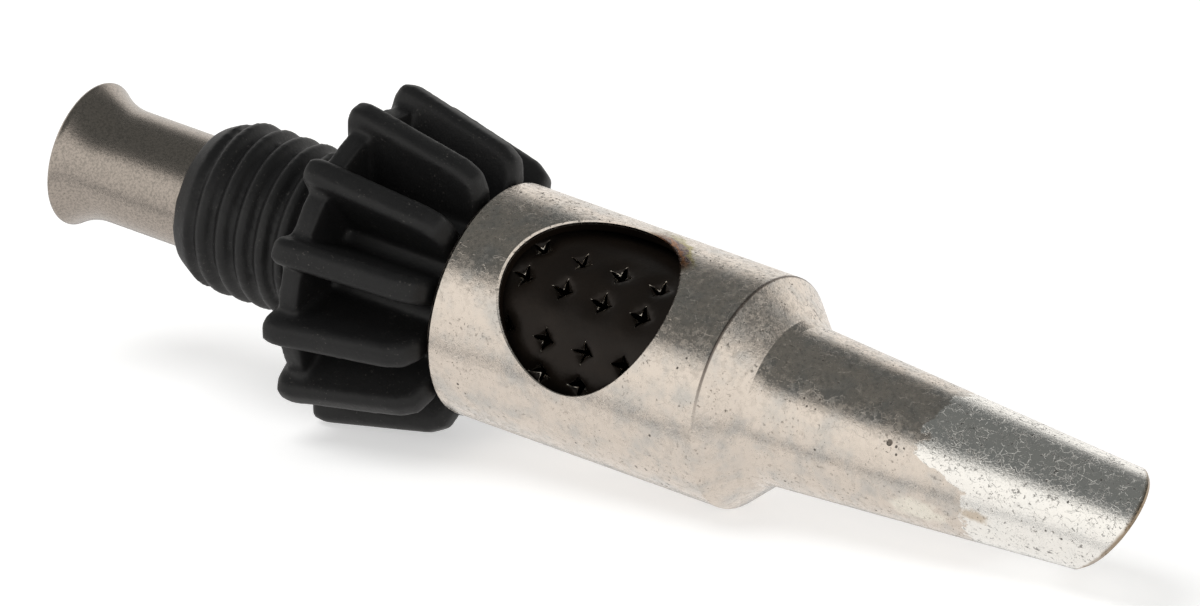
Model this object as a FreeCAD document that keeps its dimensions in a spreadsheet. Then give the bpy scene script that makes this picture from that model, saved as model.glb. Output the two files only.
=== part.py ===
import FreeCAD, Part
import math
import os
import re

import Sketcher

from FreeCAD import Placement, Rotation, Vector

# Tip of a gas heated soldering iron, in millimetres.
# Each piece is drawn with the tip's own axis along X, the bit towards +X and the exhaust port towards +Z,
# from the back face of the collar's web. The finished pieces are then laid down as the tip rests on a bench.

doc = FreeCAD.newDocument("soldering_iron_tip")

# Driving sizes
sizes = doc.addObject("Spreadsheet::Sheet", "Sizes")
DRIVING_SIZES = (
    ("barrel_diameter", 10.1),
    ("barrel_bore", 8.9),
    ("barrel_length", 13.4),
    ("barrel_rim_chamfer", 0.25),
    ("chamber_depth", 11.5),
    ("port_diameter", 7.9),
    ("port_setback", 6.7),
    ("port_edge_chamfer", 0.08),
    ("port_turn", 2.9),
    ("shoulder_length", 1.7),
    ("cone_diameter", 6.95),
    ("cone_foot_chamfer", 0.25),
    ("bit_reach", 15.9),
    ("bit_end_diameter", 4.85),
    ("bevel_angle", 45),
    ("bevel_rim_chamfer", 0.15),
    ("sleeve_gap", 0.12),
    ("sleeve_wall", 0.15),
    ("star_width", 1.1),
    ("star_waist", 0.34),
    ("star_pitch", 1.95),
    ("star_margin", 0.95),
    ("star_columns", 4),
    ("star_row_pairs", 3),
    ("star_row_angle", 21),
    ("star_pair_angle", 51.43),
    ("disc_thickness", 0.25),
    ("disc_hole", 0.7),
    ("disc_hole_circle", 2.6),
    ("disc_hole_count", 4),
    ("bush_length", 2.1),
    ("tube_diameter", 4.9),
    ("tube_wall", 0.35),
    ("tube_overhang", 14.15),
    ("flare_diameter", 6.2),
    ("flare_lip", 0.7),
    ("flare_chamfer", 0.18),
    ("flare_mouth", 0.4),
    ("thread_diameter", 7.4),
    ("thread_pitch", 1.0),
    ("thread_crest", 0.3),
    ("thread_depth", 0.5),
    ("stub_length", 7.7),
    ("stub_lead_length", 1.2),
    ("stub_lead_depth", 0.65),
    ("web_diameter", 12.8),
    ("web_thickness", 0.95),
    ("hub_diameter", 7.4),
    ("collar_length", 6.3),
    ("collar_gap", 0.2),
    ("fin_count", 12),
    ("fin_thickness", 1.2),
    ("fin_rear_diameter", 15.0),
    ("fin_front_diameter", 12.1),
    ("fin_proud", 0.4),
    ("fin_rear_corner", 0.8),
    ("fin_front_corner", 1.0),
    ("fin_edge_chamfer", 0.25),
    ("fit_gap", 0.02),
)
for row, (alias, value) in enumerate(DRIVING_SIZES, start=1):
    sizes.set("A%d" % row, alias)
    sizes.set("B%d" % row, str(value))
    sizes.setAlias("B%d" % row, alias)
doc.recompute()
ALIASES = [alias for alias, value in DRIVING_SIZES]


def size(alias):
    return float(sizes.get(alias))


def bound(formula):
    """Write the sheet's name before each of its aliases in a formula."""
    return re.sub("[a-z_]+", lambda word: "Sizes." + word[0] if word[0] in ALIASES else word[0], formula)


# Places along the axis and radii that several pieces share
BARREL_REAR = "(collar_length + collar_gap)"
CHAMBER_END = "(%s + chamber_depth)" % BARREL_REAR
BUSH_FRONT = "(%s + bush_length)" % BARREL_REAR
DISC_FRONT = "(%s + disc_thickness)" % BUSH_FRONT
PORT_CENTRE = "(%s + port_setback)" % BARREL_REAR
SHOULDER = "(%s + barrel_length)" % BARREL_REAR
CONE_START = "(%s + shoulder_length)" % SHOULDER
BIT_END = "(%s + bit_reach)" % CONE_START
CHAMBER_FIT = "(barrel_bore / 2 - fit_gap)"
TUBE_FIT = "(tube_diameter / 2 + fit_gap)"


def recompute():
    doc.recompute()
    for feature in doc.Objects:
        if "Invalid" in feature.State or "Error" in feature.State:
            raise RuntimeError("%s: %s" % (feature.Name, feature.getStatusString()))


def new_body(label):
    body = doc.addObject("PartDesign::Body", label)
    body.Label = label
    return body


def origin_feature(body, role):
    for feature in body.Origin.OriginFeatures:
        if feature.Role == role:
            return feature
    raise ValueError(role)


def attached_sketch(body, name, plane):
    sketch = body.newObject("Sketcher::SketchObject", name)
    sketch.AttachmentSupport = [(origin_feature(body, plane), "")]
    sketch.MapMode = "FlatFace"
    return sketch


def hold_point(sketch, shape, point, along, up):
    """Place a point of the sketch by two formulas, each measured from the sketch's origin."""
    for kind, formula, axis in (("DistanceX", along, -2), ("DistanceY", up, -1)):
        if formula == "0":
            sketch.addConstraint(Sketcher.Constraint("PointOnObject", shape, point, axis))
        else:
            place = sketch.addConstraint(Sketcher.Constraint(kind, -1, 1, shape, point, 1))
            sketch.setExpression("Constraints[%d]" % place, bound(formula))


def outline_sketch(body, name, plane, corners):
    """Draw a closed outline of straight edges, each corner placed by two formulas."""
    sketch = attached_sketch(body, name, plane)
    count = len(corners)
    turn = 2 * math.pi / count
    rough = [Vector(math.cos(i * turn), math.sin(i * turn), 0) for i in range(count)]
    for i in range(count):
        sketch.addGeometry(Part.LineSegment(rough[i], rough[(i + 1) % count]), False)
    for i in range(count):
        sketch.addConstraint(Sketcher.Constraint("Coincident", i, 2, (i + 1) % count, 1))
    for i, (along, up) in enumerate(corners):
        hold_point(sketch, i, 1, along, up)
    return sketch


def circle_sketch(body, name, plane, centre, diameter):
    """Draw one circle, its centre on the sketch's first axis."""
    sketch = attached_sketch(body, name, plane)
    sketch.addGeometry(Part.Circle(Vector(1, 0, 0), Vector(0, 0, 1), 1), False)
    hold_point(sketch, 0, 3, centre, "0")
    place = sketch.addConstraint(Sketcher.Constraint("Diameter", 0, 1))
    sketch.setExpression("Constraints[%d]" % place, bound(diameter))
    return sketch


def quartered_circle_sketch(body, name, plane, diameter):
    """Draw a circle about the origin as four equal arcs."""
    sketch = attached_sketch(body, name, plane)
    circle = Part.Circle(Vector(0, 0, 0), Vector(0, 0, 1), 1)
    for i in range(4):
        sketch.addGeometry(Part.ArcOfCircle(circle, i * math.pi / 2, (i + 1) * math.pi / 2), False)
    for i in range(4):
        sketch.addConstraint(Sketcher.Constraint("Coincident", i, 3, -1, 1))
        sketch.addConstraint(Sketcher.Constraint("Coincident", i, 2, (i + 1) % 4, 1))
        sketch.addConstraint(Sketcher.Constraint("PointOnObject", i, 1, -1 if i % 2 == 0 else -2))
    place = sketch.addConstraint(Sketcher.Constraint("Diameter", 0, 2))
    sketch.setExpression("Constraints[%d]" % place, bound(diameter))
    return sketch


def turned(body, name, corners, seam_below=False):
    """Revolve an outline of (place along the axis, radius) corners about the axis, its seam on top or below."""
    if seam_below:
        corners = [(along, radius if radius == "0" else "-(%s)" % radius) for along, radius in corners]
    sketch = outline_sketch(body, name + "_outline", "XZ_Plane", corners)
    revolve = body.newObject("PartDesign::Revolution", name)
    revolve.Profile = sketch
    revolve.ReferenceAxis = (sketch, ["H_Axis"])
    revolve.Angle = 360
    recompute()
    return revolve


def turned_away(body, name, corners):
    """Turn an outline of (place along the axis, radius) corners off the body."""
    before = body.Shape.Volume
    sketch = outline_sketch(body, name + "_outline", "XZ_Plane", corners)
    groove = body.newObject("PartDesign::Groove", name)
    groove.Profile = sketch
    groove.ReferenceAxis = (sketch, ["H_Axis"])
    groove.Angle = 360
    recompute()
    if body.Shape.Volume > before - 1e-6:
        raise RuntimeError(name + " cuts nothing")
    return groove


def pocket(body, name, sketch, length, reversed_side=False, both_sides=False):
    """Cut a sketch out of the body and make sure that it removed something."""
    before = body.Shape.Volume
    cut = body.newObject("PartDesign::Pocket", name)
    cut.Profile = sketch
    cut.Reversed = reversed_side
    cut.Midplane = both_sides
    cut.setExpression("Length", bound(length))
    recompute()
    if body.Shape.Volume > before - 1e-6:
        raise RuntimeError(name + " cuts nothing")
    return cut


def polar_pattern(body, name, features, count):
    """Repeat features evenly round the axis."""
    pattern = body.newObject("PartDesign::PolarPattern", name)
    pattern.Originals = features
    pattern.Axis = (origin_feature(body, "X_Axis"), [""])
    pattern.Angle = 360
    pattern.setExpression("Occurrences", bound(count))
    body.Tip = pattern
    recompute()
    return pattern


def round_edges(body, diameter):
    """Name the edges that circle the axis at this diameter, in order along the axis."""
    found = []
    for number, edge in enumerate(body.Shape.Edges, start=1):
        if edge.Curve.TypeId != "Part::GeomCircle":
            continue
        middle = edge.Curve.Center
        if math.hypot(middle.y, middle.z) < 1e-6 and abs(edge.Curve.Radius - size(diameter) / 2) < 1e-6:
            found.append((middle.x, "Edge%d" % number))
    return [name for along, name in sorted(found)]


def edges_where(body, test):
    """Name the edges whose points between the ends all pass the test."""
    names = []
    for number, edge in enumerate(body.Shape.Edges, start=1):
        if all(test(point) for point in edge.discretize(7)[1:-1]):
            names.append("Edge%d" % number)
    return names


def bevelled(body, name, edge_names, width):
    base = body.Tip
    chamfer = body.newObject("PartDesign::Chamfer", name)
    chamfer.Base = (base, edge_names)
    chamfer.setExpression("Size", bound(width))
    recompute()
    return chamfer


# Soldering bit: one turned piece of plated copper, with a drilled heating chamber behind the solid taper,
# an exhaust port drilled through one side of the chamber wall and an end cut off at a slant, facing away from it.
# The seam of its turned faces runs opposite the port, so that it doesn't split the port's edge
bit = new_body("soldering_bit")
BIT_TAPER = "((cone_diameter - bit_end_diameter) / 2 / bit_reach)"
OVERRUN = "(bit_end_diameter * tan(bevel_angle))"
turned(bit, "bit_turning", (
    (BARREL_REAR, "barrel_bore / 2"),
    (BARREL_REAR, "barrel_diameter / 2"),
    (SHOULDER, "barrel_diameter / 2"),
    (CONE_START, "cone_diameter / 2"),
    ("%s + %s" % (BIT_END, OVERRUN), "bit_end_diameter / 2 - %s * %s" % (BIT_TAPER, OVERRUN)),
    ("%s + %s" % (BIT_END, OVERRUN), "0"),
    (CHAMBER_END, "0"),
    (CHAMBER_END, "barrel_bore / 2"),
), seam_below=True)
bevelled(bit, "barrel_rim", round_edges(bit, "barrel_diameter")[:1], "barrel_rim_chamfer")
bevelled(bit, "cone_foot", round_edges(bit, "cone_diameter")[:1], "cone_foot_chamfer")

port_circle = circle_sketch(bit, "port_circle", "XY_Plane", PORT_CENTRE, "port_diameter")
pocket(bit, "exhaust_port", port_circle, "barrel_diameter", reversed_side=True)


def on_port_rim(point):
    across_port = math.hypot(point.x - port_at, point.y) < size("port_diameter") / 2 + 1e-4
    return across_port and point.z > 0 and abs(math.hypot(point.y, point.z) - size("barrel_diameter") / 2) < 1e-3


port_at = size("collar_length") + size("collar_gap") + size("port_setback")
bevelled(bit, "port_rim", edges_where(bit, on_port_rim), "port_edge_chamfer")

bevel_waste = outline_sketch(bit, "bevel_waste", "XZ_Plane", (
    ("%s - %s" % (BIT_END, OVERRUN), "-bit_end_diameter"),
    ("%s + %s" % (BIT_END, OVERRUN), "bit_end_diameter"),
    ("%s + %s" % (BIT_END, OVERRUN), "-bit_end_diameter"),
))
pocket(bit, "bevel", bevel_waste, "2 * bit_end_diameter", both_sides=True)
bevel_face = max(bit.Shape.Faces, key=lambda face: face.CenterOfMass.x)
bevel_rim = ["Edge%d" % number for number, edge in enumerate(bit.Shape.Edges, start=1)
             if any(edge.isSame(rim) for rim in bevel_face.Edges)]
bevelled(bit, "bevel_rim", bevel_rim, "bevel_rim_chamfer")

# Chamber bush: the ring pressed into the back of the barrel that carries the inlet tube
bush = new_body("chamber_bush")
turned(bush, "bush_turning", (
    (BARREL_REAR, TUBE_FIT),
    (BARREL_REAR, CHAMBER_FIT),
    (BUSH_FRONT, CHAMBER_FIT),
    (BUSH_FRONT, TUBE_FIT),
))

# Diffuser disc: the drilled plate in front of the bush that spreads the gas over the catalyst
disc = new_body("diffuser_disc")
turned(disc, "disc_blank", (
    (BUSH_FRONT, "0"),
    (BUSH_FRONT, CHAMBER_FIT),
    (DISC_FRONT, CHAMBER_FIT),
    (DISC_FRONT, "0"),
))
disc_hole = circle_sketch(disc, "disc_hole", "YZ_Plane", "disc_hole_circle / 2", "disc_hole")
hole_cut = pocket(disc, "disc_hole_cut", disc_hole, "3 * %s" % DISC_FRONT, both_sides=True)
polar_pattern(disc, "disc_holes", [hole_cut], "disc_hole_count")

# Catalyst sleeve: pierced sheet rolled into a tube that lines the chamber
sleeve = new_body("catalyst_sleeve")
SLEEVE_RADIUS = "(barrel_bore / 2 - sleeve_gap)"
turned(sleeve, "sleeve_tube", (
    (DISC_FRONT, "%s - sleeve_wall" % SLEEVE_RADIUS),
    (DISC_FRONT, SLEEVE_RADIUS),
    (CHAMBER_END, SLEEVE_RADIUS),
    (CHAMBER_END, "%s - sleeve_wall" % SLEEVE_RADIUS),
))
FIRST_STAR = "(%s + star_margin)" % DISC_FRONT
STAR_CORNERS = (
    (FIRST_STAR + " + star_width / 2", "0"),
    (FIRST_STAR + " + star_waist / 2", "star_waist / 2"),
    (FIRST_STAR, "star_width / 2"),
    (FIRST_STAR + " - star_waist / 2", "star_waist / 2"),
    (FIRST_STAR + " - star_width / 2", "0"),
    (FIRST_STAR + " - star_waist / 2", "-star_waist / 2"),
    (FIRST_STAR, "-star_width / 2"),
    (FIRST_STAR + " + star_waist / 2", "-star_waist / 2"),
)
star = outline_sketch(sleeve, "star", "XY_Plane", STAR_CORNERS)
star_cut = pocket(sleeve, "star_cut", star, "barrel_bore", reversed_side=True)
paired_star = outline_sketch(sleeve, "paired_star", "XY_Plane", STAR_CORNERS)
paired_star.AttachmentOffset = Placement(Vector(0, 0, 0), Rotation(Vector(-1, 0, 0), 1))
paired_star.setExpression("AttachmentOffset.Rotation.Angle", bound("star_row_angle"))
paired_cut = pocket(sleeve, "paired_star_cut", paired_star, "barrel_bore", reversed_side=True)
star_columns = sleeve.newObject("PartDesign::LinearPattern", "star_columns")
star_columns.Direction = (origin_feature(sleeve, "X_Axis"), [""])
star_columns.setExpression("Length", bound("star_pitch * (star_columns - 1)"))
star_columns.setExpression("Occurrences", bound("star_columns"))
star_rows = sleeve.newObject("PartDesign::PolarPattern", "star_rows")
star_rows.Axis = (origin_feature(sleeve, "X_Axis"), [""])
star_rows.setExpression("Angle", bound("star_pair_angle * (star_row_pairs - 1)"))
star_rows.setExpression("Occurrences", bound("star_row_pairs"))
piercing = sleeve.newObject("PartDesign::MultiTransform", "piercing")
piercing.Originals = [star_cut, paired_cut]
piercing.Transformations = [star_columns, star_rows]
sleeve.Tip = piercing
recompute()

# Inlet tube: drawn metal tube, its back end rolled out into a seating lip
tube = new_body("inlet_tube")
FLARE_STEP = "((flare_diameter - tube_diameter) / 2)"
TUBE_BORE = "(tube_diameter / 2 - tube_wall)"
turned(tube, "tube_turning", (
    ("-tube_overhang", "%s + flare_mouth" % TUBE_BORE),
    ("-tube_overhang", "flare_diameter / 2"),
    ("-tube_overhang + flare_lip", "flare_diameter / 2"),
    ("-tube_overhang + flare_lip", "tube_diameter / 2"),
    (BUSH_FRONT, "tube_diameter / 2"),
    (BUSH_FRONT, TUBE_BORE),
    ("-tube_overhang + flare_mouth", TUBE_BORE),
))
bevelled(tube, "flare_edges", round_edges(tube, "flare_diameter"), "flare_chamfer")
bevelled(tube, "flare_sweep", round_edges(tube, "tube_diameter")[:1], "0.9 * (%s - flare_chamfer)" % FLARE_STEP)

# Finned collar: moulded plastic nut, a threaded stub behind a ring of radial fins that keep the fingers cool
collar = new_body("finned_collar")
stub_circle = quartered_circle_sketch(collar, "stub_circle", "YZ_Plane", "thread_diameter")
stub = collar.newObject("PartDesign::Pad", "stub")
stub.Profile = stub_circle
stub.Reversed = True
stub.setExpression("Length", bound("stub_length"))
recompute()
turned_away(collar, "stub_lead", (
    ("-stub_length", "thread_diameter / 2 - stub_lead_depth"),
    ("-stub_length + stub_lead_length", "thread_diameter / 2"),
    ("-stub_length", "thread_diameter / 2 + stub_lead_depth"),
))

GROOVE_START = "(-stub_length - thread_pitch)"
HALF_MOUTH = "((thread_pitch - thread_crest) / 2)"
groove_profile = outline_sketch(collar, "groove_profile", "XZ_Plane", (
    (GROOVE_START, "thread_diameter / 2 - thread_depth"),
    ("%s - %s" % (GROOVE_START, HALF_MOUTH), "thread_diameter / 2"),
    ("%s - %s" % (GROOVE_START, HALF_MOUTH), "thread_diameter / 2 + thread_depth"),
    ("%s + %s" % (GROOVE_START, HALF_MOUTH), "thread_diameter / 2 + thread_depth"),
    ("%s + %s" % (GROOVE_START, HALF_MOUTH), "thread_diameter / 2"),
))
before_thread = collar.Shape.Volume
thread_groove = collar.newObject("PartDesign::SubtractiveHelix", "thread_groove")
thread_groove.Profile = groove_profile
thread_groove.ReferenceAxis = (groove_profile, ["H_Axis"])
thread_groove.Mode = 0
thread_groove.HasBeenEdited = True
thread_groove.setExpression("Pitch", bound("thread_pitch"))
thread_groove.setExpression("Height", bound("(floor(stub_length / thread_pitch) + 2.3) * thread_pitch"))
recompute()
if collar.Shape.Volume > 0.95 * before_thread:
    raise RuntimeError("the thread cuts too little")

# The fins start as one turned head that is slotted all round, and the web then closes the back of the slots
FIN_SLOPE = "((fin_rear_diameter - fin_front_diameter) / 2 / (collar_length + fin_proud))"
turned(collar, "head", (
    ("-fin_proud", "0"),
    ("-fin_proud", "fin_rear_diameter / 2 - fin_rear_corner"),
    ("-fin_proud + 0.29 * fin_rear_corner", "fin_rear_diameter / 2 - 0.29 * fin_rear_corner"),
    ("-fin_proud + fin_rear_corner", "fin_rear_diameter / 2 - %s * fin_rear_corner" % FIN_SLOPE),
    ("collar_length - fin_front_corner", "fin_front_diameter / 2 + %s * fin_front_corner" % FIN_SLOPE),
    ("collar_length - 0.29 * fin_front_corner", "fin_front_diameter / 2 - 0.2 * fin_front_corner"),
    ("collar_length", "fin_front_diameter / 2 - fin_front_corner"),
    ("collar_length", "0"),
))

HALF_SLOT = "(%s * tan(180 / fin_count) - fin_thickness / 2 / cos(180 / fin_count))"
SLOT_FOOT = HALF_SLOT % "hub_diameter / 2"
SLOT_MOUTH = HALF_SLOT % "fin_rear_diameter"
slot_outline = outline_sketch(collar, "slot_outline", "YZ_Plane", (
    ("-" + SLOT_FOOT, "-hub_diameter / 2"),
    ("-" + SLOT_MOUTH, "-fin_rear_diameter"),
    (SLOT_MOUTH, "-fin_rear_diameter"),
    (SLOT_FOOT, "-hub_diameter / 2"),
))
slot_outline.setExpression("AttachmentOffset.Base.z", bound("-fin_proud"))
slot = pocket(collar, "slot", slot_outline, "collar_length + 2 * fin_proud", reversed_side=True)
polar_pattern(collar, "slots", [slot], "fin_count")


def on_fin_side(point):
    radius = math.hypot(point.y, point.z)
    step = 2 * math.pi / size("fin_count")
    from_bottom = math.atan2(point.y, -point.z)
    from_fin = from_bottom - (math.floor(from_bottom / step) + 0.5) * step
    beside_fin = abs(radius * math.sin(abs(from_fin)) - size("fin_thickness") / 2) < 1e-4
    return beside_fin and radius > 1.02 * max(size("hub_diameter"), size("thread_diameter")) / 2


bevelled(collar, "fin_edges", edges_where(collar, on_fin_side), "fin_edge_chamfer")

turned(collar, "web", (
    ("0", "0"),
    ("0", "web_diameter / 2"),
    ("web_thickness", "web_diameter / 2"),
    ("web_thickness", "0"),
))
turned_away(collar, "collar_bore", (
    ("-stub_length", "0"),
    ("-stub_length", TUBE_FIT),
    ("collar_length", TUBE_FIT),
    ("collar_length", "0"),
))

# Resting on a bench the tip leans on two neighbouring fins and on the edge of the barrel's shoulder
FIN_REACH = "((fin_rear_diameter / 2 - %s * fin_rear_corner) * cos(180 / fin_count)" % FIN_SLOPE
FIN_REACH += " + (fin_thickness / 2 - fin_edge_chamfer) * sin(180 / fin_count))"
LEAN = "atan((%s - barrel_diameter / 2) / (%s + fin_proud - fin_rear_corner))" % (FIN_REACH, SHOULDER)
PORT_ROLL = "(1.5 * 360 / fin_count + port_turn)"
pieces = {bit: PORT_ROLL, sleeve: PORT_ROLL, disc: PORT_ROLL, bush: "0", tube: "0", collar: "0"}
for piece, roll in pieces.items():
    rest = "placement(vector(0; 0; 0); rotation(vector(0; 1; 0); %s) * rotation(vector(1; 0; 0); %s))"
    piece.setExpression("Placement", bound(rest % (LEAN, roll)))
recompute()

os.makedirs("parts", exist_ok=True)
for piece in pieces:
    if piece.Shape.isNull() or not piece.Shape.isValid() or len(piece.Shape.Solids) != 1:
        raise RuntimeError(piece.Label + " is not one valid solid")
for piece in pieces:
    piece.Shape.exportStep("parts/%s.step" % piece.Label)
    print(piece.Label, round(piece.Shape.Volume, 2), len(piece.Shape.Faces), piece.Placement)
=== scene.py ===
import math
import random

import bmesh
import bpy
from mathutils import Matrix, Vector
from mathutils.geometry import delaunay_2d_cdt


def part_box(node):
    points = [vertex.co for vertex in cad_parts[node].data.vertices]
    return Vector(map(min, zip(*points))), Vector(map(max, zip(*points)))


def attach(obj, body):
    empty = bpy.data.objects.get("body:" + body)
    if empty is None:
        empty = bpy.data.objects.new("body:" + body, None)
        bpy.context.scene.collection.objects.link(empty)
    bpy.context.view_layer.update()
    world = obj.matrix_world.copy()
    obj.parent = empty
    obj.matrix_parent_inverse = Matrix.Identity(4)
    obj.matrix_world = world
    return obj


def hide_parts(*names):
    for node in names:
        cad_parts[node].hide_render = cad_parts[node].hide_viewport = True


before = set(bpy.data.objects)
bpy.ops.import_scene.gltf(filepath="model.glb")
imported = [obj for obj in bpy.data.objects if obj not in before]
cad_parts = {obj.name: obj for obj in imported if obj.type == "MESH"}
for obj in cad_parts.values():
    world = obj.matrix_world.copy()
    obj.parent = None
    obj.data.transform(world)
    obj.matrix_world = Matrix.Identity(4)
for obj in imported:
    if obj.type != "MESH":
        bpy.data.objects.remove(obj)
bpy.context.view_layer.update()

# Soldering bit: a copper rod turned to a barrel 10.1 mm across and a taper from 6.95 to 4.85 mm, bored for
# the heating chamber, drilled for the exhaust port, cut off at a slant and nickel plated. Use has pitted and
# scratched the plating, left heat colours beside the port and a coat of tin on the working end.
MM = 0.001
LEAN = math.radians(6.198)


class Finish:
    """A material whose pattern is laid out along and round the tip, in millimetres and degrees."""

    def __init__(self, name, metallic=0.0):
        self.material = bpy.data.materials.new(name)
        self.material.use_nodes = True
        self.tree = self.material.node_tree
        self.shader = self.tree.nodes["Principled BSDF"]
        self.shader.inputs["Metallic"].default_value = metallic
        turned = self.add("ShaderNodeVectorRotate", self.add("ShaderNodeTexCoord").outputs["Object"])
        turned.rotation_type = "Y_AXIS"
        turned.inputs["Angle"].default_value = -LEAN
        in_mm = self.add("ShaderNodeVectorMath", turned.outputs[0], (1 / MM,) * 3, kind="MULTIPLY")
        self.place = in_mm.outputs[0]
        split = self.add("ShaderNodeSeparateXYZ", self.place)
        self.along = split.outputs["X"]
        self.side = split.outputs["Y"]
        self.height = split.outputs["Z"]
        front = self.times(self.side, -1)
        self.turn = self.work("DEGREES", self.work("ARCTAN2", self.height, front))

    def add(self, kind_of_node, *values, kind=None):
        node = self.tree.nodes.new(kind_of_node)
        if kind:
            node.operation = kind
        for socket, value in zip(node.inputs, values):
            self.feed(socket, value)
        return node

    def feed(self, socket, value):
        """Link a node's output to a socket, or write a plain value in it."""
        if isinstance(value, bpy.types.NodeSocket):
            self.tree.links.new(value, socket)
        else:
            socket.default_value = value

    def work(self, kind, *values):
        return self.add("ShaderNodeMath", *values, kind=kind).outputs[0]

    def plus(self, first, second):
        return self.work("ADD", first, second)

    def minus(self, first, second):
        return self.work("SUBTRACT", first, second)

    def larger(self, first, second):
        return self.work("MAXIMUM", first, second)

    def times(self, *masks):
        product = masks[0]
        for mask in masks[1:]:
            product = self.work("MULTIPLY", product, mask)
        return product

    def distance(self, first, second):
        """Straight distance over two steps at right angles."""
        return self.work("SQRT", self.plus(self.times(first, first), self.times(second, second)))

    def fade(self, value, low, high):
        """0 at low and 1 at high, with a soft start and end. low may be the larger."""
        node = self.tree.nodes.new("ShaderNodeMapRange")
        node.interpolation_type = "SMOOTHSTEP"
        self.feed(node.inputs["Value"], value)
        self.feed(node.inputs["From Min"], min(low, high))
        self.feed(node.inputs["From Max"], max(low, high))
        node.inputs["To Min"].default_value = 0.0 if low < high else 1.0
        node.inputs["To Max"].default_value = 1.0 if low < high else 0.0
        return node.outputs["Result"]

    def noise(self, scale, detail=3.0, roughness=0.55):
        """Cloudy noise from 0 to 1. scale is in features per millimetre."""
        node = self.tree.nodes.new("ShaderNodeTexNoise")
        self.feed(node.inputs["Vector"], self.place)
        node.inputs["Scale"].default_value = scale
        node.inputs["Detail"].default_value = detail
        node.inputs["Roughness"].default_value = roughness
        return node.outputs["Fac"]

    def ragged(self, value, scale, amount, centre=0.0, detail=4):
        """The value shifted by cloudy noise, so that an edge drawn from it wavers."""
        cloud = self.minus(self.noise(scale, detail), centre)
        return self.plus(value, self.times(cloud, amount))

    def cells(self, scale, feature="F1", wander=0.0):
        """Distance to scattered points, or to the borders between them, as a share of a cell.

        The pattern is bent by up to wander millimetres.
        """
        shift = self.tree.nodes.new("ShaderNodeTexNoise")
        shift.inputs["Scale"].default_value = 1.3
        self.feed(shift.inputs["Vector"], self.place)
        bend = self.add("ShaderNodeVectorMath", shift.outputs["Color"], (wander * 2,) * 3, kind="MULTIPLY")
        bent = self.add("ShaderNodeVectorMath", self.place, bend.outputs[0], kind="ADD")
        node = self.tree.nodes.new("ShaderNodeTexVoronoi")
        node.feature = feature
        self.feed(node.inputs["Vector"], bent.outputs[0])
        node.inputs["Scale"].default_value = scale
        return node.outputs["Distance"]

    def lines(self, scale, wander, edge, core):
        """Fine lines on the borders of bent cells, that start at edge and are full at core, as shares."""
        return self.fade(self.cells(scale, "DISTANCE_TO_EDGE", wander), edge, core)

    def paint(self, under, mask, over):
        """Lay a colour or number over another by a mask."""
        number = isinstance(over, (int, float)) or isinstance(under, (int, float))
        node = self.tree.nodes.new("ShaderNodeMix")
        node.data_type = "FLOAT" if number else "RGBA"
        sockets = node.inputs[2:4] if number else node.inputs[6:8]
        self.feed(node.inputs[0], mask)
        for socket, value in zip(sockets, (under, over)):
            self.feed(socket, value if number or isinstance(value, bpy.types.NodeSocket) else (*value, 1.0))
        return node.outputs[0 if number else 2]

    def spot(self, along, turn, half_length, half_width, radius):
        """How far a place is from a patch's middle: 1 at its half length or half width, in millimetres.

        radius is the tip's own radius there, which turns degrees round it into millimetres.
        """
        across = self.times(self.minus(self.turn, turn), math.radians(radius) / half_width)
        forward = self.times(self.minus(self.along, along), 1 / half_length)
        return self.distance(across, forward)

    def finish(self, colour, roughness, height, depth):
        """Wire the colour, the roughness and a bump whose depth is in millimetres to the shader."""
        self.feed(self.shader.inputs["Base Color"], colour)
        self.feed(self.shader.inputs["Roughness"], roughness)
        bump = self.tree.nodes.new("ShaderNodeBump")
        bump.inputs["Distance"].default_value = depth * MM
        self.feed(bump.inputs["Height"], height)
        self.tree.links.new(bump.outputs["Normal"], self.shader.inputs["Normal"])
        return self.material


def dress(node, material):
    """Put one material in every slot of a solid from the CAD."""
    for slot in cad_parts[node].material_slots:
        slot.material = material


# The plating: grey clouds in warm nickel, with specks and mottling, most on the upper side, pits at the upper
# back edge and a few elsewhere, hairlines on top of the taper, and bright scratches.
NICKEL = (0.70, 0.625, 0.55)
GREY_NICKEL = (0.57, 0.54, 0.50)
MOTTLE_GREY = (0.30, 0.29, 0.27)
SCRATCH_BRIGHT = (0.86, 0.78, 0.70)
PIT_BLACK = (0.05, 0.042, 0.036)

plating = Finish("worn_nickel", metallic=1.0)
clouds = plating.noise(0.9, detail=5)
ripple = plating.noise(4.0, detail=5, roughness=0.78)
grain = plating.noise(9.0)
colour = plating.paint(NICKEL, plating.fade(clouds, 0.40, 0.72), GREY_NICKEL)

speck_field = plating.fade(plating.noise(0.7), 0.40, 0.58)
specks = plating.times(plating.fade(plating.noise(7.5, detail=2), 0.61, 0.68), speck_field)
mottle = plating.fade(plating.noise(6.0, detail=5, roughness=0.75), 0.50, 0.62)
mottle = plating.times(mottle, plating.fade(plating.turn, 20, 50))
colour = plating.paint(colour, plating.times(mottle, 0.45), MOTTLE_GREY)

rear_upper = plating.times(plating.fade(plating.along, 11.5, 7.0), plating.fade(plating.turn, 10, 35))
rear_field = plating.times(rear_upper, plating.fade(plating.noise(1.1), 0.46, 0.56))
stray_field = plating.fade(plating.noise(0.8, detail=1), 0.64, 0.68)
pores = plating.fade(plating.cells(3.0), 0.22, 0.12)
pits = plating.times(pores, plating.larger(rear_field, stray_field))

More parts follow.
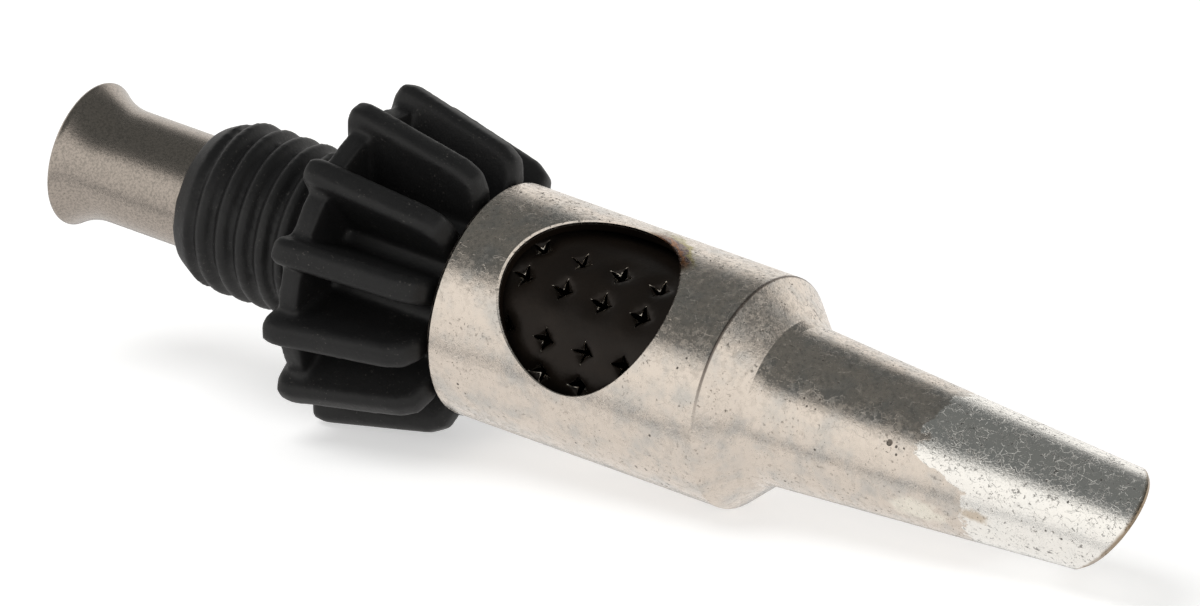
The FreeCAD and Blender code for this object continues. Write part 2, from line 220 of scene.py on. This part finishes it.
hairline_field = plating.fade(plating.noise(0.5, detail=2), 0.5, 0.62)
hairlines = plating.times(plating.lines(1.1, 0.5, 0.022, 0.006), hairline_field)
upper_front = plating.times(plating.fade(plating.along, 18.0, 21.0), plating.fade(plating.turn, 30, 48))
hairlines = plating.times(hairlines, plating.paint(0.15, upper_front, 0.9))
scratch_field = plating.fade(plating.noise(1.7, detail=2), 0.53, 0.60)
scratches = plating.times(plating.lines(2.3, 0.25, 0.026, 0.006), scratch_field)
colour = plating.paint(colour, plating.times(scratches, 0.4), SCRATCH_BRIGHT)

# The tin: it starts at a ragged edge, further forward on the lower side. A cream patch of flux lies beside
# the edge, and a small brown one lies on the tin.
TIN = (0.95, 0.94, 0.90)
TIN_PIT_GREY = (0.12, 0.11, 0.10)
CREAM = (0.87, 0.83, 0.73)
PALE_BROWN = (0.52, 0.42, 0.31)
TIN_START = 29.5
TIN_STEP = 2.4

tin_edge = plating.plus(TIN_START, plating.times(plating.fade(plating.turn, 22, 0), TIN_STEP))
tin_edge = plating.ragged(tin_edge, 1.6, 1.8, centre=0.5)
tinned = plating.fade(plating.minus(plating.along, tin_edge), -0.08, 0.08)
tin_ripple = plating.noise(4.5, detail=5, roughness=0.75)
colour = plating.paint(colour, plating.times(tinned, 0.85), TIN)
tin_pits = plating.times(tinned, plating.fade(plating.noise(5.0, detail=4, roughness=0.7), 0.585, 0.66))
tin_scratch_field = plating.fade(plating.noise(1.9, detail=2), 0.50, 0.58)
tin_scratches = plating.times(tinned, plating.lines(2.6, 0.3, 0.035, 0.008), tin_scratch_field)
colour = plating.paint(colour, plating.times(tin_pits, 0.75), TIN_PIT_GREY)
cream = plating.ragged(plating.spot(29.7, -30, 1.3, 0.6, 3.0), 2.4, 1.4)
colour = plating.paint(colour, plating.times(plating.fade(cream, 1.95, 1.25), 0.8), CREAM)
brown_spot = plating.ragged(plating.spot(32.4, -17, 0.75, 0.35, 2.9), 3.4, 1.3)
colour = plating.paint(colour, plating.times(plating.fade(brown_spot, 1.9, 1.0), 0.75), PALE_BROWN)

# The heat colours: bands beside the port's upper front edge. Each row gives the distances from the port's rim
# at which a colour starts and is full, in millimetres, and the colour.
PORT_PLACE = 13.2
PORT_RADIUS = 3.95
PORT_TURN = 42.1
HEAT_COLOURS = (
    (0.75, 0.50, (0.36, 0.31, 0.14)),
    (0.50, 0.34, (0.17, 0.12, 0.12)),
    (0.34, 0.20, (0.27, 0.11, 0.035)),
    (0.16, 0.06, (0.06, 0.03, 0.02)),
)

port_side = math.radians(PORT_TURN)
across_port = plating.plus(plating.times(plating.side, math.sin(port_side)),
                           plating.times(plating.height, math.cos(port_side)))
toward_port = plating.minus(plating.times(plating.height, math.sin(port_side)),
                            plating.times(plating.side, math.cos(port_side)))
past_port = plating.minus(plating.along, PORT_PLACE)
rim_gap = plating.minus(plating.distance(across_port, past_port), PORT_RADIUS)
round_port = plating.work("DEGREES", plating.work("ARCTAN2", across_port, past_port))
stain_reach = plating.ragged(rim_gap, 2.4, 0.75, centre=0.5)
stained_arc = plating.times(plating.fade(round_port, 34, 46), plating.fade(round_port, 92, 66),
                            plating.fade(toward_port, 0, 1))
for start, full, tone in HEAT_COLOURS:
    colour = plating.paint(colour, plating.times(stained_arc, plating.fade(stain_reach, start, full)), tone)

# Dark marks over all: the specks, pits and hairlines, one larger pit on the taper, and dark brown inside the
# chamber and on the port's wall. A thin line of painted shade runs along the shoulder's edge.
SHOULDER_PLACE = 19.9
SHOULDER_SHADE_BROWN = (0.09, 0.07, 0.06)
LONE_PIT_GREY = (0.16, 0.14, 0.12)
INNER_DARK_BROWN = (0.030, 0.021, 0.015)
INNER_DARK_RADII = (4.90, 4.80)
INNER_DARK_PLACES = (19.0, 18.6)

# Painted shade: a thin dark line along the shoulder's edge, on the front and upper side only.
shoulder_gap = plating.work("ABSOLUTE", plating.minus(plating.along, SHOULDER_PLACE))
shoulder_shade_line = plating.times(plating.fade(shoulder_gap, 0.08, 0.03), plating.fade(plating.turn, -10, 30))
lone_pit = plating.fade(plating.spot(28.1, 22, 0.13, 0.13, 3.0), 1.2, 0.8)
radius = plating.distance(plating.side, plating.height)
# Dark brown on the chamber's bore and the port wall's inner part: radius under 4.8 mm, back of 18.6 mm.
inside = plating.times(plating.fade(radius, *INNER_DARK_RADII), plating.fade(plating.along, *INNER_DARK_PLACES))
speck_share = plating.paint(0.22, plating.fade(plating.turn, 25, 45), 0.6)
colour = plating.paint(colour, plating.times(specks, speck_share), PIT_BLACK)
colour = plating.paint(colour, plating.times(pits, 0.75), PIT_BLACK)
colour = plating.paint(colour, plating.times(hairlines, 0.85), PIT_BLACK)
# Painted shade line at the shoulder.
colour = plating.paint(colour, plating.times(shoulder_shade_line, 0.85), SHOULDER_SHADE_BROWN)
colour = plating.paint(colour, lone_pit, LONE_PIT_GREY)
colour = plating.paint(colour, inside, INNER_DARK_BROWN)

# The slanted end: a brown band of painted shade along the edge where the slant meets the taper. The slant
# is at 45 degrees and crosses the tip's axis at BIT_END.
CONE_START = 21.6
CONE_RADIUS = 3.475
BIT_END = 37.5
END_RADIUS = 2.425
CONE_TAPER = (CONE_RADIUS - END_RADIUS) / (BIT_END - CONE_START)
SLANT_SHADE_BROWN = (0.24, 0.16, 0.08)

slant_gap = plating.minus(plating.plus(toward_port, BIT_END), plating.along)
slant_gap = plating.times(slant_gap, math.cos(math.radians(45)))
slant_rim_shade = plating.fade(plating.ragged(slant_gap, 2.5, -0.12, detail=3), 0.22, 0.06)
taper = plating.minus(CONE_RADIUS + CONE_START * CONE_TAPER, plating.times(plating.along, CONE_TAPER))
slant_rim_shade = plating.times(slant_rim_shade, plating.fade(plating.minus(taper, radius), 0.34, 0.16))
# Painted shade: the brown band along the slant's edge is laid into the plating's colour.
colour = plating.paint(colour, plating.times(slant_rim_shade, 0.85), SLANT_SHADE_BROWN)

# The shine and the relief: dulled patches between brighter ones, a fine ripple, and every mark sunk in by its
# own share of the relief's depth.
PLATING_RELIEF = 0.012

dulled = plating.fade(plating.noise(3.4, detail=5, roughness=0.78), 0.43, 0.60)
rough = plating.paint(0.12, dulled, 0.36)
rough = plating.paint(rough, plating.times(tinned, 0.6), 0.14)
rough = plating.paint(rough, plating.larger(plating.larger(pits, specks), inside), 0.7)
relief = plating.plus(plating.times(grain, 0.16), plating.times(ripple, 0.95))
relief = plating.plus(relief, plating.times(tinned, tin_ripple, 0.9))
MARK_SHARES = (
    (pits, 1.2),
    (specks, 0.5),
    (hairlines, 1.2),
    (scratches, 0.35),
    (tin_pits, 0.6),
    (tin_scratches, 0.8),
    (lone_pit, 2.0),
)
for mark, share in MARK_SHARES:
    relief = plating.minus(relief, plating.times(mark, share))
dress("soldering_bit", plating.finish(colour, rough, relief, PLATING_RELIEF))

# Chamber bush and diffuser disc: a turned ring, 2.1 mm long, that carries the inlet tube in the back of the
# barrel, and a plate of 0.25 mm with four drilled holes in front of it. Both wear one finish of heat-dulled
# brass and stay out of sight.
BRASS = (0.50, 0.36, 0.17)
BROWNED_BRASS = (0.28, 0.19, 0.10)
BRASS_RELIEF = 0.004

dull_brass = Finish("heat_dulled_brass", metallic=1.0)
brass_colour = dull_brass.paint(BRASS, dull_brass.noise(1.0), BROWNED_BRASS)
brass_rough = dull_brass.paint(0.4, dull_brass.noise(4.0), 0.55)
brass_material = dull_brass.finish(brass_colour, brass_rough, dull_brass.noise(8.0), BRASS_RELIEF)
for node in ("chamber_bush", "diffuser_disc"):
    dress(node, brass_material)

# Catalyst sleeve: sheet of 0.13 mm, rolled into a tube 8.64 mm across that lines the chamber, pierced by a
# four-sided punch. Each stroke leaves a dent and four curled petals round a star-shaped hole. Burning gas has
# blackened the sheet, and some of the torn edges still glint.
PORT_ROLL = 90 - PORT_TURN
SHEET_RADIUS = 4.33
SHEET_EASE = 0.01
SHEET_WALL = 0.13
SHEET_BACK = 8.85
SHEET_FRONT = 18.0
FIRST_STAR = 9.8
STAR_PITCH = 1.95
STAR_HALF = 0.55
STAR_WAIST = 0.21
STAR_ROWS = (-21.0, 0.0, 30.43, 51.43, 81.86, 102.86)
STAR_COLUMNS = 4
DENT_DEPTH = 0.17
DENT_FLOOR = 0.3
DENT_SLOPE = 0.62


def on_tip(along, side, height):
    """A point given along the tip's own axis, in millimetres, as a place in the frame."""
    return Vector((along * math.cos(LEAN) + height * math.sin(LEAN), side,
                   height * math.cos(LEAN) - along * math.sin(LEAN))) * MM


def on_sheet(along, arc, drop):
    """A point on the sheet: arc millimetres round from the port's middle, sunk by drop."""
    turn = math.radians(PORT_ROLL) + arc / SHEET_RADIUS
    reach = SHEET_RADIUS - SHEET_EASE - drop
    return on_tip(along, -reach * math.sin(turn), reach * math.cos(turn))


star_centres = [(FIRST_STAR + column * STAR_PITCH, math.radians(row) * SHEET_RADIUS)
                for row in STAR_ROWS for column in range(STAR_COLUMNS)]
star_sides = []
for quarter in range(4):
    corner = Vector((math.cos(quarter * math.pi / 2), math.sin(quarter * math.pi / 2))) * STAR_HALF
    star_sides.append((corner, Vector((-corner.y, corner.x))))


def dent(along, arc):
    """How far the punch pushed the sheet in at a place, deepest at the rim of a star."""
    girth = 2 * math.pi * SHEET_RADIUS
    nearest = min(math.hypot(along - x, (arc - y + girth / 2) % girth - girth / 2) for x, y in star_centres)
    return DENT_DEPTH * max(0.0, 1 - max(0.0, nearest - DENT_FLOOR) / DENT_SLOPE) ** 2


def clear_of_stars(along, arc, margin):
    """True where a place on the sheet is further than margin millimetres outside every star."""
    return all(abs(along - x) + abs(arc - y) > STAR_HALF + margin for x, y in star_centres)


# The sheet is meshed flat round the outlines of the stars, then rolled. Its seam is opposite SHEET_MIDDLE.
SIDE_STEPS = 4
GRID = 0.26
GRID_MARGIN = 0.1
SHEET_MIDDLE = math.radians(40) * SHEET_RADIUS

half_girth = math.pi * SHEET_RADIUS
flat_points, edges = [], []
for x, y in star_centres:
    ring = []
    for a, b in star_sides:
        ring += [Vector((x, y)) + a.lerp(b, step / SIDE_STEPS) for step in range(SIDE_STEPS)]
    start = len(flat_points)
    flat_points += ring
    edges += [(start + i, start + (i + 1) % len(ring)) for i in range(len(ring))]
columns = round((SHEET_FRONT - SHEET_BACK) / GRID)
rows = round(2 * half_girth / GRID)
for i in range(columns + 1):
    for j in range(rows + 1):
        spot = Vector((SHEET_BACK + (SHEET_FRONT - SHEET_BACK) * i / columns,
                       SHEET_MIDDLE - half_girth + 2 * half_girth * j / rows))
        if clear_of_stars(spot.x, spot.y, GRID_MARGIN):
            flat_points.append(spot)
cut = delaunay_2d_cdt(flat_points, edges, [], 0, 1e-5)
sheet = bmesh.new()
knots = [sheet.verts.new(on_sheet(p.x, p.y, dent(p.x, p.y))) for p in cut[0]]
for corners in cut[2]:
    centre = sum((cut[0][i] for i in corners), Vector((0, 0))) / len(corners)
    if clear_of_stars(centre.x, centre.y, 0.0):
        sheet.faces.new([knots[i] for i in corners])

# Each side of a star bends in as one petal, which narrows to its tip. No two petals are torn quite alike.
PETAL_STEPS = 4
PETAL_DROP = 0.30
PETAL_CURL = 1.4
WELD_GAP = 0.002

chance = random.Random(7)
for x, y in star_centres:
    for a, b in star_sides:
        tip = (a + b).normalized() * STAR_WAIST * chance.uniform(0.7, 1.25)
        drop = PETAL_DROP * chance.uniform(0.8, 1.2)
        layers = []
        for step in range(PETAL_STEPS + 1):
            share = step / PETAL_STEPS
            line = []
            for part in range(SIDE_STEPS + 1):
                base = a.lerp(b, part / SIDE_STEPS)
                spot = base.lerp(tip, share)
                sink = dent(x + base.x, y + base.y) + drop * share ** PETAL_CURL
                line.append(sheet.verts.new(on_sheet(x + spot.x, y + spot.y, sink)))
            layers.append(line)
        for near, far in zip(layers, layers[1:]):
            for i in range(SIDE_STEPS):
                sheet.faces.new((near[i], near[i + 1], far[i + 1], far[i]))
bmesh.ops.remove_doubles(sheet, verts=sheet.verts, dist=WELD_GAP * MM)
bmesh.ops.recalc_face_normals(sheet, faces=sheet.faces)


def as_object(name, mesh_in_work, materials):
    """Turn a bmesh into a smooth-shaded object at the origin."""
    data = bpy.data.meshes.new(name)
    mesh_in_work.to_mesh(data)
    mesh_in_work.free()
    for polygon in data.polygons:
        polygon.use_smooth = True
    for material in materials:
        data.materials.append(material)
    piece = bpy.data.objects.new(name, data)
    bpy.context.scene.collection.objects.link(piece)
    return piece


BURNT_BLACK = (0.010, 0.008, 0.0065)
BURNT_BROWN = (0.021, 0.015, 0.011)
BURNT_RELIEF = 0.015
TORN_DULL = (0.12, 0.10, 0.08)
TORN_BRIGHT = (0.92, 0.85, 0.74)
TORN_RELIEF = 0.01

burnt = Finish("burnt_sheet", metallic=0.5)
burnt.shader.inputs["Specular IOR Level"].default_value = 0.3
burnt_colour = burnt.paint(BURNT_BLACK, burnt.noise(0.9), BURNT_BROWN)
burnt_rough = burnt.paint(0.30, burnt.noise(2.0), 0.5)
burnt_material = burnt.finish(burnt_colour, burnt_rough, burnt.noise(3.0), BURNT_RELIEF)
torn = Finish("torn_edge", metallic=1.0)
torn_colour = torn.paint(TORN_DULL, torn.fade(torn.noise(2.6, detail=2), 0.40, 0.50), TORN_BRIGHT)
torn_rough = torn.paint(0.28, torn.noise(3.0), 0.42)
torn_material = torn.finish(torn_colour, torn_rough, torn.noise(6.0), TORN_RELIEF)
sleeve = as_object("pierced_sheet", sheet, [burnt_material, torn_material])
thick = sleeve.modifiers.new("sheet_thickness", "SOLIDIFY")
thick.thickness = SHEET_WALL * MM
thick.offset = -1
thick.material_offset_rim = 1
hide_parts("catalyst_sleeve")
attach(sleeve, "root")

# Inlet tube: a drawn metal tube, 4.9 mm across, that carries gas from the handle's seal through the collar to
# the chamber. Its back end is flared into a bell 6.2 mm across with a rounded lip. It is duller and grainier
# than the bit.
TUBE_RADIUS = 2.45
TUBE_BORE = 2.10
TUBE_BACK = -14.15
TUBE_FRONT = 8.6
BELL_RADIUS = 3.10
BELL_START = -12.05
BELL_CURVE = 2.1
MOUTH_RADIUS = 2.72
LIP = (BELL_RADIUS - MOUTH_RADIUS) / 2
TURNING_STEPS = 128
STRAIGHT_STEPS = 12
BELL_STEPS = 14
LIP_STEPS = 8


def turning(name, outline, materials):
    """Turn a closed outline of (place along, radius) about the tip's axis."""
    work = bmesh.new()
    rings = []
    for step in range(TURNING_STEPS):
        angle = 2 * math.pi * step / TURNING_STEPS
        rings.append([work.verts.new(on_tip(along, reach * math.cos(angle), reach * math.sin(angle)))
                      for along, reach in outline])
    for ring, following in zip(rings, rings[1:] + rings[:1]):
        for i in range(len(outline)):
            j = (i + 1) % len(outline)
            work.faces.new((ring[i], following[i], following[j], ring[j]))
    bmesh.ops.recalc_face_normals(work, faces=work.faces)
    return as_object(name, work, materials)


def on_bell(share, narrow, wide):
    """A point on the bell's wall, from narrow at its start to wide at its lip."""
    place = BELL_START + (TUBE_BACK + LIP - BELL_START) * share
    return place, narrow + (wide - narrow) * share ** BELL_CURVE


tube_outline = [(TUBE_FRONT, TUBE_BORE), (TUBE_FRONT, TUBE_RADIUS)]
for step in range(1, STRAIGHT_STEPS):
    tube_outline.append((TUBE_FRONT - (TUBE_FRONT - BELL_START) * step / STRAIGHT_STEPS, TUBE_RADIUS))
for step in range(BELL_STEPS + 1):
    tube_outline.append(on_bell(step / BELL_STEPS, TUBE_RADIUS, BELL_RADIUS))
for step in range(1, LIP_STEPS):
    angle = math.pi * step / LIP_STEPS
    tube_outline.append((TUBE_BACK + LIP - LIP * math.sin(angle),
                         (BELL_RADIUS + MOUTH_RADIUS) / 2 + LIP * math.cos(angle)))
for step in range(BELL_STEPS + 1):
    tube_outline.append(on_bell(1 - step / BELL_STEPS, TUBE_BORE, MOUTH_RADIUS))

TUBE_PALE = (0.42, 0.37, 0.325)
TUBE_GREY = (0.29, 0.26, 0.23)
TUBE_RELIEF = 0.008

grained = Finish("grainy_tube", metallic=1.0)
fine = grained.noise(10.0, detail=4, roughness=0.7)
tube_colour = grained.paint(TUBE_PALE, grained.fade(fine, 0.42, 0.62), TUBE_GREY)
tube_rough = grained.paint(0.20, fine, 0.32)
tube_material = grained.finish(tube_colour, tube_rough, fine, TUBE_RELIEF)
tube = turning("flared_tube", tube_outline, [tube_material])
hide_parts("inlet_tube")
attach(tube, "root")

# Finned collar: heat-proof plastic, moulded in one piece with a 7.4 mm thread that screws into the handle and
# fins, 14.6 mm across, that keep the fingers off the heat. It is matt with a little dust, and a fine skin
# over the solid rounds its moulded corners.
PLASTIC_BLACK = (0.007, 0.007, 0.0075)
PLASTIC_GREY = (0.014, 0.014, 0.014)
DUST_GREY = (0.14, 0.13, 0.12)
PLASTIC_RELIEF = 0.014
JOIN_GAP = 0.001
SKIN_CELL = 0.135
SKIN_ROUNDS = 7

moulding = Finish("black_moulding")
moulding.shader.inputs["Specular IOR Level"].default_value = 0.32
dust_field = moulding.fade(moulding.noise(0.8), 0.45, 0.65)
dust = moulding.times(moulding.fade(moulding.noise(9.0), 0.60, 0.72), dust_field)
plastic_colour = moulding.paint(PLASTIC_BLACK, moulding.noise(1.2, detail=4), PLASTIC_GREY)
plastic_colour = moulding.paint(plastic_colour, moulding.times(dust, 0.45), DUST_GREY)
plastic_rough = moulding.paint(0.42, moulding.noise(5.0), 0.56)
plastic_grain = moulding.noise(7.0, detail=4)
dress("finned_collar", moulding.finish(plastic_colour, plastic_rough, plastic_grain, PLASTIC_RELIEF))
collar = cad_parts["finned_collar"]
weld = collar.modifiers.new("weld", "WELD")
weld.merge_threshold = JOIN_GAP * MM
soften = collar.modifiers.new("moulded_skin", "REMESH")
soften.mode = "VOXEL"
soften.voxel_size = SKIN_CELL * MM
soften.use_smooth_shade = True
rounding = collar.modifiers.new("moulded_corners", "SMOOTH")
rounding.factor = 0.5
rounding.iterations = SKIN_ROUNDS

# Studio: a round white table, 0.9 m across, in a pale room with a dark ceiling, with a soft lamp above. The
# camera stands 1.2 m away with a long lens on the front of the tip.
TABLE_RADIUS = 0.45
TABLE_GLOW = (0.50, 0.50, 0.50, 1)
FLOOR_HEIGHT = min(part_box(node)[0].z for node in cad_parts)

bpy.ops.mesh.primitive_circle_add(vertices=96, radius=TABLE_RADIUS, fill_type="NGON",
                                  location=(0.01, 0, FLOOR_HEIGHT))
table = bpy.context.object
table.name = "studio_table"
table.visible_glossy = False
table_white = bpy.data.materials.new("table_white")
table_white.use_nodes = True
wires = table_white.node_tree
matt = wires.nodes["Principled BSDF"]
matt.inputs["Base Color"].default_value = (0.8, 0.8, 0.8, 1)
matt.inputs["Roughness"].default_value = 0.9
glow = wires.nodes.new("ShaderNodeEmission")
ray = wires.nodes.new("ShaderNodeLightPath")
lift = wires.nodes.new("ShaderNodeAddShader")
glow_level = wires.nodes.new("ShaderNodeMath")
glow_level.operation = "MAXIMUM"
wires.links.new(ray.outputs["Is Camera Ray"], glow_level.inputs[0])
wires.links.new(ray.outputs["Is Transmission Ray"], glow_level.inputs[1])
wires.links.new(glow_level.outputs[0], glow.inputs["Strength"])
glow.inputs["Color"].default_value = TABLE_GLOW
wires.links.new(matt.outputs[0], lift.inputs[0])
wires.links.new(glow.outputs[0], lift.inputs[1])
wires.links.new(lift.outputs[0], wires.nodes["Material Output"].inputs["Surface"])
table.data.materials.append(table_white)

# The room's tone by height, from 0 straight down through 0.5 at the horizon to 1 straight up. The narrow dark
# band makes the thin dark line that the metal mirrors low in front, and the dark end is the ceiling.
ROOM = {
    0.00: (0.92, 0.90, 0.88),
    0.235: (0.98, 0.96, 0.94),
    0.246: (0.07, 0.09, 0.11),
    0.268: (0.07, 0.09, 0.11),
    0.280: (0.98, 0.96, 0.94),
    0.50: (1.05, 1.03, 1.00),
    0.62: (1.10, 1.08, 1.05),
    0.745: (1.05, 1.03, 1.00),
    0.79: (0.19, 0.195, 0.195),
    0.90: (0.15, 0.157, 0.155),
    1.00: (0.17, 0.175, 0.17),
}

world = bpy.data.worlds.new("pale_room")
bpy.context.scene.world = world
world.use_nodes = True
room = world.node_tree
for old in list(room.nodes):
    room.nodes.remove(old)
facing = room.nodes.new("ShaderNodeTexCoord")
parts = room.nodes.new("ShaderNodeSeparateXYZ")
level = room.nodes.new("ShaderNodeMapRange")
walls = room.nodes.new("ShaderNodeValToRGB")
seen = room.nodes.new("ShaderNodeLightPath")
choice = room.nodes.new("ShaderNodeMix")
choice.data_type = "RGBA"
light = room.nodes.new("ShaderNodeBackground")
out = room.nodes.new("ShaderNodeOutputWorld")
room.links.new(facing.outputs["Generated"], parts.inputs[0])
level.inputs["From Min"].default_value = -1.0
room.links.new(parts.outputs["Z"], level.inputs["Value"])
room.links.new(level.outputs["Result"], walls.inputs["Fac"])
stops = walls.color_ramp.elements
while len(stops) < len(ROOM):
    stops.new(0.5)
for stop, place in zip(stops, ROOM):
    stop.position = place
for stop, tone in zip(stops, ROOM.values()):
    stop.color = (*tone, 1)
room.links.new(seen.outputs["Is Camera Ray"], choice.inputs[0])
room.links.new(walls.outputs[0], choice.inputs[6])
choice.inputs[7].default_value = (1, 1, 1, 1)
room.links.new(choice.outputs[2], light.inputs["Color"])
room.links.new(light.outputs[0], out.inputs[0])

LAMP_PLACE = (-0.10, -0.12, 0.32)
LAMP_SIZE = 0.25
LAMP_POWER = 0.55

lamp_data = bpy.data.lights.new("overhead_soft", "AREA")
lamp_data.shape = "DISK"
lamp_data.size = LAMP_SIZE
lamp_data.energy = LAMP_POWER
lamp = bpy.data.objects.new("overhead_soft", lamp_data)
bpy.context.scene.collection.objects.link(lamp)
lamp.location = LAMP_PLACE
lamp.rotation_euler = (-lamp.location).to_track_quat("-Z", "Y").to_euler()
lamp.visible_glossy = False

CAMERA_DISTANCE = 1.2
CAMERA_LENS = 864
AIM_RIGHT = 9.79
AIM_DOWN = 2.146
right = Vector((0.83089, 0.55573, 0.02811))
down = Vector((0.19220, -0.23923, -0.95175))
ahead = Vector((-0.52219, 0.79620, -0.30558))
camera_data = bpy.data.cameras.new("front_camera")
camera_data.sensor_width = 36
camera_data.lens = CAMERA_LENS
camera = bpy.data.objects.new("front_camera", camera_data)
bpy.context.scene.collection.objects.link(camera)
aim = (right * AIM_RIGHT + down * AIM_DOWN) * MM
turned_to = Matrix((right, -down, -ahead)).transposed().to_4x4()
camera.matrix_world = Matrix.Translation(aim - ahead * CAMERA_DISTANCE) @ turned_to
camera_data.clip_start = 0.01
camera_data.clip_end = 10
bpy.context.scene.camera = camera
bpy.context.scene.view_settings.view_transform = "Standard"
